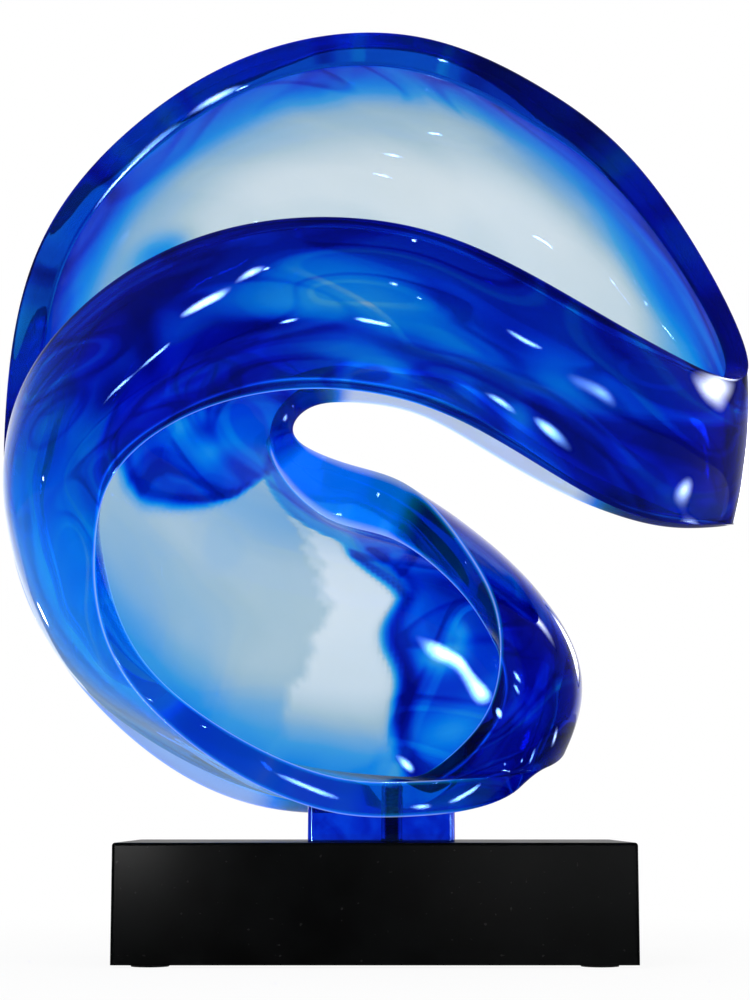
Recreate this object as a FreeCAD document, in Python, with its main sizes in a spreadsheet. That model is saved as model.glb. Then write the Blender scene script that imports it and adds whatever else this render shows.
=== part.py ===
import FreeCAD, Part
import Sketcher
import os

# A table sculpture: one endless band of clear blue glass with a single half
# twist in it, bonded to a small clear neck and bolted to a black base block.
# Millimetres, +Z up, the front faces -Y. The origin is on the table, in the
# middle of the base block's footprint.

Vector = FreeCAD.Vector
doc = FreeCAD.newDocument("wave_sculpture")

# Driving dimensions

SIZES = [
    # the black base block
    ("base_width", 245.0),
    ("base_depth", 120.0),
    ("base_height", 56.0),
    ("base_edge_radius", 1.5),
    # the felt pads under it
    ("pad_diameter", 18.0),
    ("pad_thickness", 1.5),
    ("pad_inset", 8.0),
    # the clear neck between the base and the band
    ("neck_width", 70.0),
    ("neck_depth", 30.0),
    ("neck_offset", 3.0),
    ("neck_setback", -24.0),
    ("neck_corner_radius", 2.5),
    ("neck_gap", 12.0),
    ("neck_bond_depth", 5.5),
    # the band
    ("band_width", 375.0),
    ("band_depth", 160.0),
    ("band_height", 400.0),
    ("band_thickness", 14.0),
    ("band_edge_bulge", 1.2),
    # the stud that holds the band down, with its hole, washer and nut
    ("stud_diameter", 10.0),
    ("stud_offset", 8.0),
    ("stud_chamfer", 1.0),
    ("stud_end_gap", 1.0),
    ("stud_tail", 3.0),
    ("bore_clearance", 0.25),
    ("blind_hole_depth", 12.5),
    ("drill_point_angle", 118.0),
    ("counterbore_diameter", 28.0),
    ("counterbore_depth", 20.0),
    ("washer_diameter", 20.0),
    ("washer_thickness", 2.0),
    ("nut_width", 16.0),
    ("nut_height", 8.0),
    ("thread_clearance", 0.05),
    # how far a cutting shape runs past what it cuts
    ("overrun", 2.0),
]

sheet = doc.addObject("Spreadsheet::Sheet", "sizes")
for row, (alias, value) in enumerate(SIZES, start=1):
    sheet.set("A%d" % row, alias)
    sheet.set("B%d" % row, repr(value))
    sheet.setAlias("B%d" % row, alias)
doc.recompute()

# Places that several pieces share, as formulas of the sizes above

BASE_TOP = "sizes.pad_thickness + sizes.base_height"
BAND_UNDERSIDE = BASE_TOP + " + sizes.neck_gap"
BORE_RADIUS = "sizes.stud_diameter / 2 + sizes.bore_clearance"
BORE_DIAMETER = "sizes.stud_diameter + 2 * sizes.bore_clearance"
NUT_BORE_RADIUS = "sizes.stud_diameter / 2 + sizes.thread_clearance"
WASHER_TOP = "sizes.pad_thickness + sizes.counterbore_depth"
WASHER_UNDERSIDE = WASHER_TOP + " - sizes.washer_thickness"
NUT_UNDERSIDE = WASHER_UNDERSIDE + " - sizes.nut_height"
STUD_FOOT = NUT_UNDERSIDE + " - sizes.stud_tail"
STUD_TOP = BAND_UNDERSIDE + " + sizes.blind_hole_depth - sizes.stud_end_gap"


def size(alias):
    """The value that the sheet holds now, as a plain number of millimetres."""
    return float(sheet.get(alias))


def bind(item, formulas):
    """Tie properties of a document object to formulas of the sheet's sizes."""
    for name, formula in formulas.items():
        item.setExpression(name, formula)


def solid_of(kind, name, formulas, x="0", y="0", z="0"):
    """One of the plain solids, with its sizes and its place bound to the sheet."""
    item = doc.addObject(kind, name)
    bind(item, formulas)
    bind(item, {".Placement.Base.x": x, ".Placement.Base.y": y, ".Placement.Base.z": z})
    return item


def cut_from(base, tool, name):
    item = doc.addObject("Part::Cut", name)
    item.Base = base
    item.Tool = tool
    return item


# The band
#
# Each station is one cut across the band: its first edge, the middle of its
# face and its second edge, then how thick it is at those two edges. Places are
# shares of band_width, band_depth and band_height, measured from the middle of
# the band at its underside; thicknesses are shares of band_thickness. The
# stations go once round the loop. Past the last one the band meets the first
# one turned over, so its two edges are one edge that goes round twice.

STATION_SHARES = [
    # the front sweep, from the right tip over the crest and down the left
    ((0.491, 0.03, 0.556), (0.492, 0.05, 0.452), (0.463, -0.03, 0.346), 1.00, 1.00),
    ((0.386, -0.26, 0.527), (0.406, -0.29, 0.429), (0.368, -0.25, 0.343), 1.00, 1.00),
    ((0.261, -0.41, 0.578), (0.271, -0.45, 0.472), (0.254, -0.38, 0.375), 1.00, 1.00),
    ((0.121, -0.46, 0.644), (0.125, -0.53, 0.532), (0.120, -0.45, 0.449), 1.00, 1.00),
    ((-0.019, -0.46, 0.677), (-0.025, -0.54, 0.573), (-0.013, -0.46, 0.487), 1.00, 1.00),
    ((-0.167, -0.41, 0.673), (-0.169, -0.53, 0.566), (-0.142, -0.46, 0.486), 1.00, 1.00),
    ((-0.305, -0.31, 0.631), (-0.290, -0.47, 0.524), (-0.256, -0.44, 0.449), 1.00, 1.00),
    ((-0.415, -0.19, 0.552), (-0.389, -0.41, 0.445), (-0.334, -0.42, 0.384), 1.00, 1.00),
    ((-0.474, -0.05, 0.451), (-0.442, -0.31, 0.367), (-0.348, -0.41, 0.301), 1.00, 1.00),
    ((-0.471, 0.07, 0.320), (-0.424, -0.21, 0.257), (-0.333, -0.39, 0.214), 1.05, 1.00),
    ((-0.409, 0.15, 0.190), (-0.360, -0.14, 0.155), (-0.280, -0.36, 0.130), 1.15, 1.05),
    ((-0.299, 0.19, 0.099), (-0.243, -0.09, 0.082), (-0.170, -0.35, 0.052), 1.25, 1.15),
    # along the foot, where the band lies over the neck and turns over
    ((-0.140, 0.17, 0.032), (-0.106, -0.06, 0.022), (-0.052, -0.31, 0.008), 1.35, 1.20),
    ((0.018, 0.05, 0.012), (0.036, -0.12, 0.004), (0.044, -0.30, 0.003), 1.30, 1.20),
    ((0.083, -0.04, 0.026), (0.105, -0.16, 0.011), (0.121, -0.28, 0.009), 1.20, 1.10),
    # up the lobe and back round the tight hook
    ((0.131, -0.12, 0.069), (0.168, -0.21, 0.041), (0.191, -0.23, 0.026), 1.15, 1.05),
    ((0.162, -0.20, 0.133), (0.224, -0.21, 0.097), (0.229, -0.11, 0.060), 1.15, 1.00),
    ((0.147, -0.26, 0.218), (0.250, -0.06, 0.168), (0.244, 0.11, 0.089), 1.15, 1.00),
    ((0.101, -0.21, 0.291), (0.220, 0.10, 0.234), (0.222, 0.33, 0.072), 1.35, 1.10),
    ((0.034, -0.05, 0.357), (0.111, 0.29, 0.272), (0.091, 0.40, 0.014), 2.05, 1.20),
    ((-0.046, 0.01, 0.387), (-0.049, 0.42, 0.279), (-0.069, 0.38, -0.008), 2.45, 1.30),
    ((-0.113, 0.01, 0.432), (-0.228, 0.47, 0.342), (-0.268, 0.34, 0.049), 1.40, 1.45),
    # the wide rear fan, up the left, over the arch and down to the right tip
    ((-0.122, 0.00, 0.478), (-0.353, 0.49, 0.488), (-0.459, 0.30, 0.254), 1.10, 1.55),
    ((-0.082, 0.01, 0.511), (-0.327, 0.49, 0.661), (-0.494, 0.26, 0.506), 1.05, 1.55),
    ((-0.014, 0.05, 0.517), (-0.226, 0.49, 0.779), (-0.451, 0.24, 0.725), 1.05, 1.55),
    ((0.068, 0.09, 0.503), (-0.095, 0.49, 0.843), (-0.319, 0.23, 0.881), 1.10, 1.55),
    ((0.157, 0.11, 0.459), (0.051, 0.49, 0.845), (-0.144, 0.21, 0.974), 1.15, 1.55),
    ((0.253, 0.14, 0.408), (0.199, 0.46, 0.802), (0.053, 0.20, 0.987), 1.15, 1.65),
    ((0.351, 0.14, 0.369), (0.343, 0.39, 0.698), (0.229, 0.19, 0.913), 1.05, 1.75),
    ((0.427, 0.12, 0.354), (0.449, 0.25, 0.567), (0.381, 0.14, 0.777), 1.00, 1.45),
]
# how far apart the two inner rows of poles are, as a share of the band's breadth
SPREAD_SHARE = 0.30
# how thick the band is between its edges, as a share of its edges' thickness
MIDDLE_THICKNESS_SHARE = 0.75
# each round of relaxation brings the curve nearer its places; 60 leave nothing
RELAXATIONS = 60
# the band's skin is cut into faces of this many stations
STATIONS_PER_FACE = 5


def closed_curve_poles(places):
    """Poles of the closed, evenly knotted cubic curve that passes through the places."""
    count = len(places)
    poles = list(places)
    for _ in range(RELAXATIONS):
        poles = [
            (places[i] * 6 - poles[i - 1] - poles[(i + 1) % count]) / 4
            for i in range(count)
        ]
    return poles


def band_place(shares):
    """A place on the band's middle surface, from its three shares."""
    across, back, up = shares
    underside = size("pad_thickness") + size("base_height") + size("neck_gap")
    return Vector(
        size("band_width") * across,
        size("band_depth") * back,
        underside + size("band_thickness") / 2 + size("band_height") * up,
    )


def unit(vector):
    return vector / vector.Length


def band_rows():
    """Poles of the middle surface, four to a row, and the thickness at each.

    The rows go round the loop twice, the second time turned over, so that one
    skin laid on one side of them covers both faces of the band."""
    first = [band_place(station[0]) for station in STATION_SHARES]
    middle = [band_place(station[1]) for station in STATION_SHARES]
    second = [band_place(station[2]) for station in STATION_SHARES]
    count = len(STATION_SHARES)

    edge = closed_curve_poles(first + second)
    first, second = edge[:count], edge[count:]
    middle = closed_curve_poles(middle)

    rows, thicknesses = [], []
    for i in range(count):
        chord = first[i] - second[i]
        crown = (middle[i] * 8 - first[i] - second[i]) / 6
        lean = chord * (SPREAD_SHARE / 2)
        rows.append([first[i], crown + lean, crown - lean, second[i]])

        at_first = size("band_thickness") * STATION_SHARES[i][3]
        at_second = size("band_thickness") * STATION_SHARES[i][4]
        inside = (at_first + at_second) / 2 * MIDDLE_THICKNESS_SHARE
        thicknesses.append([at_first, inside, inside, at_second])

    rows += [row[::-1] for row in rows]
    thicknesses += [row[::-1] for row in thicknesses]
    return rows, thicknesses


def skin_rows(rows, thicknesses):
    """The middle surface's poles, moved out by half the thickness there."""
    count = len(rows)
    skin = []
    for i in range(count):
        before, row, after = rows[i - 1], rows[i], rows[(i + 1) % count]
        line = []
        for j in range(4):
            along = after[j] - before[j]
            across = row[min(j + 1, 3)] - row[max(j - 1, 0)]
            line.append(row[j] + unit(along.cross(across)) * (thicknesses[i][j] / 2))
        skin.append(line)
    return skin


def rim_rows(rows, skin):
    """Poles of the band's edge face, from one side of the band to the other."""
    count = len(rows)
    lap = count // 2
    rim = []
    for i in range(count):
        near = skin[i][0]
        far = skin[(i + lap) % count][3]
        out = unit(rows[i][0] - rows[i][1]) * size("band_edge_bulge")
        third = (far - near) / 3
        rim.append([near, near + third + out, far - third + out, far])
    return rim


def faces_of(rows):
    """The closed surface with these poles, cut into faces of a few stations."""
    count = len(rows)
    knots = [float(i) for i in range(count + 1)]
    surface = Part.BSplineSurface()
    surface.buildFromPolesMultsKnots(
        rows, [1] * len(knots), [4, 4], knots, [0.0, 1.0], True, False, 3, 3
    )
    faces = []
    for start in range(0, count, STATIONS_PER_FACE):
        piece = surface.copy()
        piece.segment(float(start), float(min(start + STATIONS_PER_FACE, count)), 0.0, 1.0)
        faces.append(piece.toShape())
    return faces


def band_solid():
    rows, thicknesses = band_rows()
    skin = skin_rows(rows, thicknesses)
    skins = Part.Compound(faces_of(skin) + faces_of(rim_rows(rows, skin)))
    skins.sewShape()
    solid = Part.makeSolid(skins.Shells[0])
    if solid.Volume < 0:
        solid.reverse()
    return solid


def make_band(drill):
    blank = doc.addObject("Part::Feature", "band_blank")
    blank.Shape = band_solid()
    blank.Placement = FreeCAD.Placement()
    return blank, cut_from(blank, drill, "wave_ribbon")


def make_drill():
    """The drill that bores the neck and leaves the blind hole in the band."""
    shank = solid_of(
        "Part::Cylinder",
        "drill_shank",
        {
            "Radius": BORE_RADIUS,
            "Height": "sizes.overrun + sizes.neck_gap + sizes.blind_hole_depth",
        },
        x="sizes.stud_offset",
        y="sizes.neck_setback",
        z=BASE_TOP + " - sizes.overrun",
    )
    point = solid_of(
        "Part::Cone",
        "drill_point",
        {
            "Radius1": BORE_RADIUS,
            "Radius2": "0",
            "Height": "(" + BORE_RADIUS + ") / tan(sizes.drill_point_angle / 2)",
        },
        x="sizes.stud_offset",
        y="sizes.neck_setback",
        z=BAND_UNDERSIDE + " + sizes.blind_hole_depth",
    )
    drill = doc.addObject("Part::Fuse", "drill")
    drill.Base = shank
    drill.Tool = point
    return drill


# The neck


def make_neck(band_blank, drill):
    bar = solid_of(
        "Part::Box",
        "neck_bar",
        {
            "Length": "sizes.neck_width",
            "Width": "sizes.neck_depth",
            "Height": "sizes.neck_gap + sizes.neck_bond_depth",
        },
        x="sizes.neck_offset - sizes.neck_width / 2",
        y="sizes.neck_setback - sizes.neck_depth / 2",
        z=BASE_TOP,
    )
    doc.recompute()
    upright = [
        number
        for number, edge in enumerate(bar.Shape.Edges, start=1)
        if abs(edge.tangentAt(edge.FirstParameter).z) > 0.5
    ]
    rounded = doc.addObject("Part::Fillet", "neck_rounded")
    rounded.Base = bar
    radius = size("neck_corner_radius")
    rounded.Edges = [(number, radius, radius) for number in upright]

    # the stretch of the band that the neck is bonded to shapes the neck's top
    surround = solid_of(
        "Part::Box",
        "neck_surround",
        {
            "Length": "sizes.neck_width + 2 * sizes.overrun",
            "Width": "sizes.neck_depth + 2 * sizes.overrun",
            "Height": "sizes.neck_gap + sizes.neck_bond_depth + sizes.overrun",
        },
        x="sizes.neck_offset - sizes.neck_width / 2 - sizes.overrun",
        y="sizes.neck_setback - sizes.neck_depth / 2 - sizes.overrun",
        z=BASE_TOP,
    )
    bonded = doc.addObject("Part::Common", "bonded_stretch")
    bonded.Base = band_blank
    bonded.Tool = surround
    seated = cut_from(rounded, bonded, "neck_seated")
    return cut_from(seated, drill, "neck_block")


# The base block


def plane_sketch(body, name, lift):
    """A sketch on the body's own level plane, raised by a formula of the sizes."""
    sketch = body.newObject("Sketcher::SketchObject", name)
    plane = [p for p in body.Origin.OriginFeatures if p.Role == "XY_Plane"][0]
    sketch.AttachmentSupport = [(plane, "")]
    sketch.MapMode = "FlatFace"
    sketch.setExpression(".AttachmentOffset.Base.z", lift)
    return sketch


def draw_rectangle(sketch, width, depth):
    """A rectangle centred on the sketch's origin."""
    half_width, half_depth = size(width) / 2, size(depth) / 2
    corners = [
        Vector(-half_width, -half_depth, 0),
        Vector(half_width, -half_depth, 0),
        Vector(half_width, half_depth, 0),
        Vector(-half_width, half_depth, 0),
    ]
    for i in range(4):
        sketch.addGeometry(Part.LineSegment(corners[i], corners[(i + 1) % 4]), False)
    for i in range(4):
        sketch.addConstraint(Sketcher.Constraint("Coincident", i, 2, (i + 1) % 4, 1))
    for i in (0, 2):
        sketch.addConstraint(Sketcher.Constraint("Horizontal", i))
    for i in (1, 3):
        sketch.addConstraint(Sketcher.Constraint("Vertical", i))
    sketch.addConstraint(Sketcher.Constraint("Symmetric", 0, 1, 2, 1, -1, 1))
    across = sketch.addConstraint(Sketcher.Constraint("DistanceX", 0, 1, 0, 2, 2 * half_width))
    up = sketch.addConstraint(Sketcher.Constraint("DistanceY", 1, 1, 1, 2, 2 * half_depth))
    sketch.setExpression("Constraints[%d]" % across, "sizes." + width)
    sketch.setExpression("Constraints[%d]" % up, "sizes." + depth)


def draw_circle(sketch, diameter):
    """A circle on the stud's axis, its diameter a formula of the sizes."""
    centre = Vector(size("stud_offset"), size("neck_setback"), 0)
    start = float(sketch.evalExpression(diameter))
    sketch.addGeometry(Part.Circle(centre, Vector(0, 0, 1), start / 2), False)
    x = sketch.addConstraint(Sketcher.Constraint("DistanceX", -1, 1, 0, 3, centre.x))
    y = sketch.addConstraint(Sketcher.Constraint("DistanceY", -1, 1, 0, 3, centre.y))
    across = sketch.addConstraint(Sketcher.Constraint("Diameter", 0, start))
    sketch.setExpression("Constraints[%d]" % x, "sizes.stud_offset")
    sketch.setExpression("Constraints[%d]" % y, "sizes.neck_setback")
    sketch.setExpression("Constraints[%d]" % across, diameter)


def make_base():
    body = doc.addObject("PartDesign::Body", "base_block")

    footprint = plane_sketch(body, "footprint", "sizes.pad_thickness")
    draw_rectangle(footprint, "base_width", "base_depth")
    block = body.newObject("PartDesign::Pad", "block")
    block.Profile = footprint
    block.setExpression("Length", "sizes.base_height")
    doc.recompute()

    foot = size("pad_thickness")
    outer = [
        "Edge%d" % number
        for number, edge in enumerate(block.Shape.Edges, start=1)
        if edge.CenterOfMass.z > foot + size("base_edge_radius")
    ]
    rounding = body.newObject("PartDesign::Fillet", "rounding")
    rounding.Base = (block, outer)
    rounding.setExpression("Radius", "sizes.base_edge_radius")
    doc.recompute()

    stud_circle = plane_sketch(body, "stud_circle", "sizes.pad_thickness")
    draw_circle(stud_circle, BORE_DIAMETER)
    stud_bore = body.newObject("PartDesign::Pocket", "stud_bore")
    stud_bore.Profile = stud_circle
    stud_bore.Type = "ThroughAll"
    stud_bore.Reversed = True
    doc.recompute()

    nut_circle = plane_sketch(body, "nut_circle", "sizes.pad_thickness")
    draw_circle(nut_circle, "sizes.counterbore_diameter")
    nut_pocket = body.newObject("PartDesign::Pocket", "nut_pocket")
    nut_pocket.Profile = nut_circle
    nut_pocket.Reversed = True
    nut_pocket.setExpression("Length", "sizes.counterbore_depth")
    doc.recompute()
    return body


# The stud, its washer and its nut


def make_stud():
    rod = solid_of(
        "Part::Cylinder",
        "stud_rod",
        {
            "Radius": "sizes.stud_diameter / 2",
            "Height": STUD_TOP + " - (" + STUD_FOOT + ")",
        },
        x="sizes.stud_offset",
        y="sizes.neck_setback",
        z=STUD_FOOT,
    )
    doc.recompute()
    ends = [
        number
        for number, edge in enumerate(rod.Shape.Edges, start=1)
        if edge.Curve.TypeId == "Part::GeomCircle"
    ]
    stud = doc.addObject("Part::Chamfer", "mounting_stud")
    stud.Base = rod
    chamfer = size("stud_chamfer")
    stud.Edges = [(number, chamfer, chamfer) for number in ends]
    return stud


def make_washer():
    disc = solid_of(
        "Part::Cylinder",
        "washer_disc",
        {"Radius": "sizes.washer_diameter / 2", "Height": "sizes.washer_thickness"},
        x="sizes.stud_offset",
        y="sizes.neck_setback",
        z=WASHER_UNDERSIDE,
    )
    hole = solid_of(
        "Part::Cylinder",
        "washer_hole",
        {"Radius": BORE_RADIUS, "Height": "sizes.washer_thickness + 2 * sizes.overrun"},
        x="sizes.stud_offset",
        y="sizes.neck_setback",
        z=WASHER_UNDERSIDE + " - sizes.overrun",
    )
    return cut_from(disc, hole, "stud_washer")


def make_nut():
    hexagon = solid_of(
        "Part::Prism",
        "nut_hexagon",
        {"Circumradius": "sizes.nut_width / 2 / cos(30)", "Height": "sizes.nut_height"},
        x="sizes.stud_offset",
        y="sizes.neck_setback",
        z=NUT_UNDERSIDE,
    )
    hexagon.Polygon = 6
    hole = solid_of(
        "Part::Cylinder",
        "nut_hole",
        {"Radius": NUT_BORE_RADIUS, "Height": "sizes.nut_height + 2 * sizes.overrun"},
        x="sizes.stud_offset",
        y="sizes.neck_setback",
        z=NUT_UNDERSIDE + " - sizes.overrun",
    )
    return cut_from(hexagon, hole, "stud_nut")


# The felt pads


def make_pads():
    pads = []
    for end, along in (("front", "-"), ("rear", "")):
        for side, across in (("left", "-"), ("right", "")):
            pads.append(solid_of(
                "Part::Cylinder",
                "felt_pad_%s_%s" % (end, side),
                {"Radius": "sizes.pad_diameter / 2", "Height": "sizes.pad_thickness"},
                x=across + "(sizes.base_width / 2 - sizes.pad_inset - sizes.pad_diameter / 2)",
                y=along + "(sizes.base_depth / 2 - sizes.pad_inset - sizes.pad_diameter / 2)",
            ))
    return pads


# The whole sculpture

drill = make_drill()
band_blank, band = make_band(drill)
neck = make_neck(band_blank, drill)
base = make_base()
sub_parts = [band, neck, base, make_stud(), make_washer(), make_nut()] + make_pads()
for sub_part in sub_parts:
    sub_part.Label = sub_part.Name
doc.recompute()

for item in doc.Objects:
    if "Invalid" in item.State or "Error" in item.State:
        raise RuntimeError("%s failed to build" % item.Name)
for sub_part in sub_parts:
    shape = sub_part.Shape
    if shape.isNull() or not shape.isValid() or len(shape.Solids) != 1:
        raise RuntimeError("%s isn't one valid solid" % sub_part.Label)

os.makedirs("parts", exist_ok=True)
for sub_part in sub_parts:
    sub_part.Shape.exportStep("parts/%s.step" % sub_part.Label)
    box = sub_part.Shape.BoundBox
    print("%-22s %10.0f mm3  z %.2f to %.2f" % (sub_part.Label, sub_part.Shape.Volume, box.ZMin, box.ZMax))
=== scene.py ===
import math

import bmesh
import bpy
import numpy as np
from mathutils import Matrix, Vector, noise
from mathutils.bvhtree import BVHTree


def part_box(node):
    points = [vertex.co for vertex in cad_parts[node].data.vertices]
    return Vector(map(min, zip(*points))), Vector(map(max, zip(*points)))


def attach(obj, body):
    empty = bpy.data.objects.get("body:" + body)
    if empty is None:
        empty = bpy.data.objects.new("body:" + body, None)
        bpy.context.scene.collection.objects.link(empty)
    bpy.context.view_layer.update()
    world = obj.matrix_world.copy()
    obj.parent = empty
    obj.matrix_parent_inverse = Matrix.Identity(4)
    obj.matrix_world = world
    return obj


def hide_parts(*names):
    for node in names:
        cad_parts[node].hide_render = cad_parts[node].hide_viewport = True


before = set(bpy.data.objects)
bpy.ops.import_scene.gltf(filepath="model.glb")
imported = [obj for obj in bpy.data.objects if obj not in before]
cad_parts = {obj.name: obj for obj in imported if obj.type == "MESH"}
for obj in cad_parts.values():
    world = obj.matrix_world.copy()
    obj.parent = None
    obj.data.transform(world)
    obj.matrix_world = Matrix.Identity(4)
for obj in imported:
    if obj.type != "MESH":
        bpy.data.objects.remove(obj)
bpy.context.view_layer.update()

# Sizes in metres; places that the frame knows are read from it

BASE_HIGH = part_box("base_block")[1]
NECK_LOW, NECK_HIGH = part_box("neck_block")
STUD_LOW, STUD_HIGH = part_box("mounting_stud")
STUD_X = (STUD_LOW.x + STUD_HIGH.x) / 2
STUD_Y = (STUD_LOW.y + STUD_HIGH.y) / 2

BAND_WIDTH = 0.375
BAND_DEPTH = 0.160
BAND_HEIGHT = 0.400
BAND_THICKNESS = 0.014
BAND_EDGE_BULGE = 0.0012
NECK_GAP = 0.012
BAND_UNDERSIDE = BASE_HIGH.z + NECK_GAP

BORE_RADIUS = 0.00525
BLIND_HOLE_DEPTH = 0.0125
DRILL_POINT_ANGLE = math.radians(118)
THREAD_PITCH = 0.0015
THREAD_DEPTH = 0.0009

# The band
#
# The same stations as the frame's band has: its first edge, the middle of its
# face and its second edge, as shares of the band's width, depth and height,
# then its thickness at the two edges as shares of the band's thickness.

STATION_SHARES = [
    # the front sweep, from the right tip over the crest and down the left
    ((0.491, 0.03, 0.556), (0.492, 0.05, 0.452), (0.463, -0.03, 0.346), 1.00, 1.00),
    ((0.386, -0.26, 0.527), (0.406, -0.29, 0.429), (0.368, -0.25, 0.343), 1.00, 1.00),
    ((0.261, -0.41, 0.578), (0.271, -0.45, 0.472), (0.254, -0.38, 0.375), 1.00, 1.00),
    ((0.121, -0.46, 0.644), (0.125, -0.53, 0.532), (0.120, -0.45, 0.449), 1.00, 1.00),
    ((-0.019, -0.46, 0.677), (-0.025, -0.54, 0.573), (-0.013, -0.46, 0.487), 1.00, 1.00),
    ((-0.167, -0.41, 0.673), (-0.169, -0.53, 0.566), (-0.142, -0.46, 0.486), 1.00, 1.00),
    ((-0.305, -0.31, 0.631), (-0.290, -0.47, 0.524), (-0.256, -0.44, 0.449), 1.00, 1.00),
    ((-0.415, -0.19, 0.552), (-0.389, -0.41, 0.445), (-0.334, -0.42, 0.384), 1.00, 1.00),
    ((-0.474, -0.05, 0.451), (-0.442, -0.31, 0.367), (-0.348, -0.41, 0.301), 1.00, 1.00),
    ((-0.471, 0.07, 0.320), (-0.424, -0.21, 0.257), (-0.333, -0.39, 0.214), 1.05, 1.00),
    ((-0.409, 0.15, 0.190), (-0.360, -0.14, 0.155), (-0.280, -0.36, 0.130), 1.15, 1.05),
    ((-0.299, 0.19, 0.099), (-0.243, -0.09, 0.082), (-0.170, -0.35, 0.052), 1.25, 1.15),
    # along the foot, where the band lies over the neck and turns over
    ((-0.140, 0.17, 0.032), (-0.106, -0.06, 0.022), (-0.052, -0.31, 0.008), 1.35, 1.20),
    ((0.018, 0.05, 0.012), (0.036, -0.12, 0.004), (0.044, -0.30, 0.003), 1.30, 1.20),
    ((0.083, -0.04, 0.026), (0.105, -0.16, 0.011), (0.121, -0.28, 0.009), 1.20, 1.10),
    # up the lobe and back round the tight hook
    ((0.131, -0.12, 0.069), (0.168, -0.21, 0.041), (0.191, -0.23, 0.026), 1.15, 1.05),
    ((0.162, -0.20, 0.133), (0.224, -0.21, 0.097), (0.229, -0.11, 0.060), 1.15, 1.00),
    ((0.147, -0.26, 0.218), (0.250, -0.06, 0.168), (0.244, 0.11, 0.089), 1.15, 1.00),
    ((0.101, -0.21, 0.291), (0.220, 0.10, 0.234), (0.222, 0.33, 0.072), 1.35, 1.10),
    ((0.034, -0.05, 0.357), (0.111, 0.29, 0.272), (0.091, 0.40, 0.014), 2.05, 1.20),
    ((-0.046, 0.01, 0.387), (-0.049, 0.42, 0.279), (-0.069, 0.38, -0.008), 2.45, 1.30),
    ((-0.113, 0.01, 0.432), (-0.228, 0.47, 0.342), (-0.268, 0.34, 0.049), 1.40, 1.45),
    # the wide rear fan, up the left, over the arch and down to the right tip
    ((-0.122, 0.00, 0.478), (-0.353, 0.49, 0.488), (-0.459, 0.30, 0.254), 1.10, 1.55),
    ((-0.082, 0.01, 0.511), (-0.327, 0.49, 0.661), (-0.494, 0.26, 0.506), 1.05, 1.55),
    ((-0.014, 0.05, 0.517), (-0.226, 0.49, 0.779), (-0.451, 0.24, 0.725), 1.05, 1.55),
    ((0.068, 0.09, 0.503), (-0.095, 0.49, 0.843), (-0.319, 0.23, 0.881), 1.10, 1.55),
    ((0.157, 0.11, 0.459), (0.051, 0.49, 0.845), (-0.144, 0.21, 0.974), 1.15, 1.55),
    ((0.253, 0.14, 0.408), (0.199, 0.46, 0.802), (0.053, 0.20, 0.987), 1.15, 1.65),
    ((0.351, 0.14, 0.369), (0.343, 0.39, 0.698), (0.229, 0.19, 0.913), 1.05, 1.75),
    ((0.427, 0.12, 0.354), (0.449, 0.25, 0.567), (0.381, 0.14, 0.777), 1.00, 1.45),
]
SPREAD_SHARE = 0.30
MIDDLE_THICKNESS_SHARE = 0.75
RELAXATIONS = 60

# How deep the blue is at each station, at five places evenly spaced from its
# first edge to its second, from 0, clear, to 1, the deepest
DEPTH_SHARES = [
    (0.96, 0.90, 0.88, 0.90, 0.92),
    (0.96, 0.88, 0.86, 0.86, 0.86),
    (0.98, 0.86, 0.80, 0.82, 0.84),
    (1.00, 0.84, 0.72, 0.74, 0.80),
    (1.00, 0.74, 0.54, 0.66, 0.78),
    (1.00, 0.74, 0.54, 0.68, 0.74),
    (0.98, 0.74, 0.62, 0.66, 0.70),
    (0.94, 0.66, 0.58, 0.58, 0.64),
    (0.80, 0.50, 0.44, 0.44, 0.52),
    (0.50, 0.38, 0.35, 0.36, 0.44),
    (0.40, 0.32, 0.29, 0.31, 0.40),
    (0.40, 0.32, 0.29, 0.33, 0.40),
    (0.42, 0.36, 0.37, 0.43, 0.50),
    (0.52, 0.50, 0.52, 0.58, 0.64),
    (0.70, 0.72, 0.76, 0.80, 0.84),
    (0.86, 0.92, 0.96, 0.98, 0.96),
    (0.86, 0.96, 1.00, 1.00, 0.96),
    (0.80, 0.82, 0.92, 0.96, 0.94),
    (0.66, 0.64, 0.70, 0.78, 0.84),
    (0.56, 0.58, 0.68, 0.78, 0.78),
    (0.10, 0.02, 0.00, 0.02, 0.44),
    (0.17, 0.17, 0.16, 0.15, 0.38),
    (0.26, 0.18, 0.15, 0.14, 0.38),
    (0.20, 0.12, 0.07, 0.16, 0.66),
    (0.10, 0.06, 0.05, 0.18, 0.84),
    (0.06, 0.05, 0.05, 0.16, 0.84),
    (0.06, 0.04, 0.05, 0.16, 0.82),
    (0.08, 0.03, 0.03, 0.18, 0.84),
    (0.40, 0.06, 0.05, 0.22, 0.90),
    (0.80, 0.45, 0.30, 0.55, 0.92),
]

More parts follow.
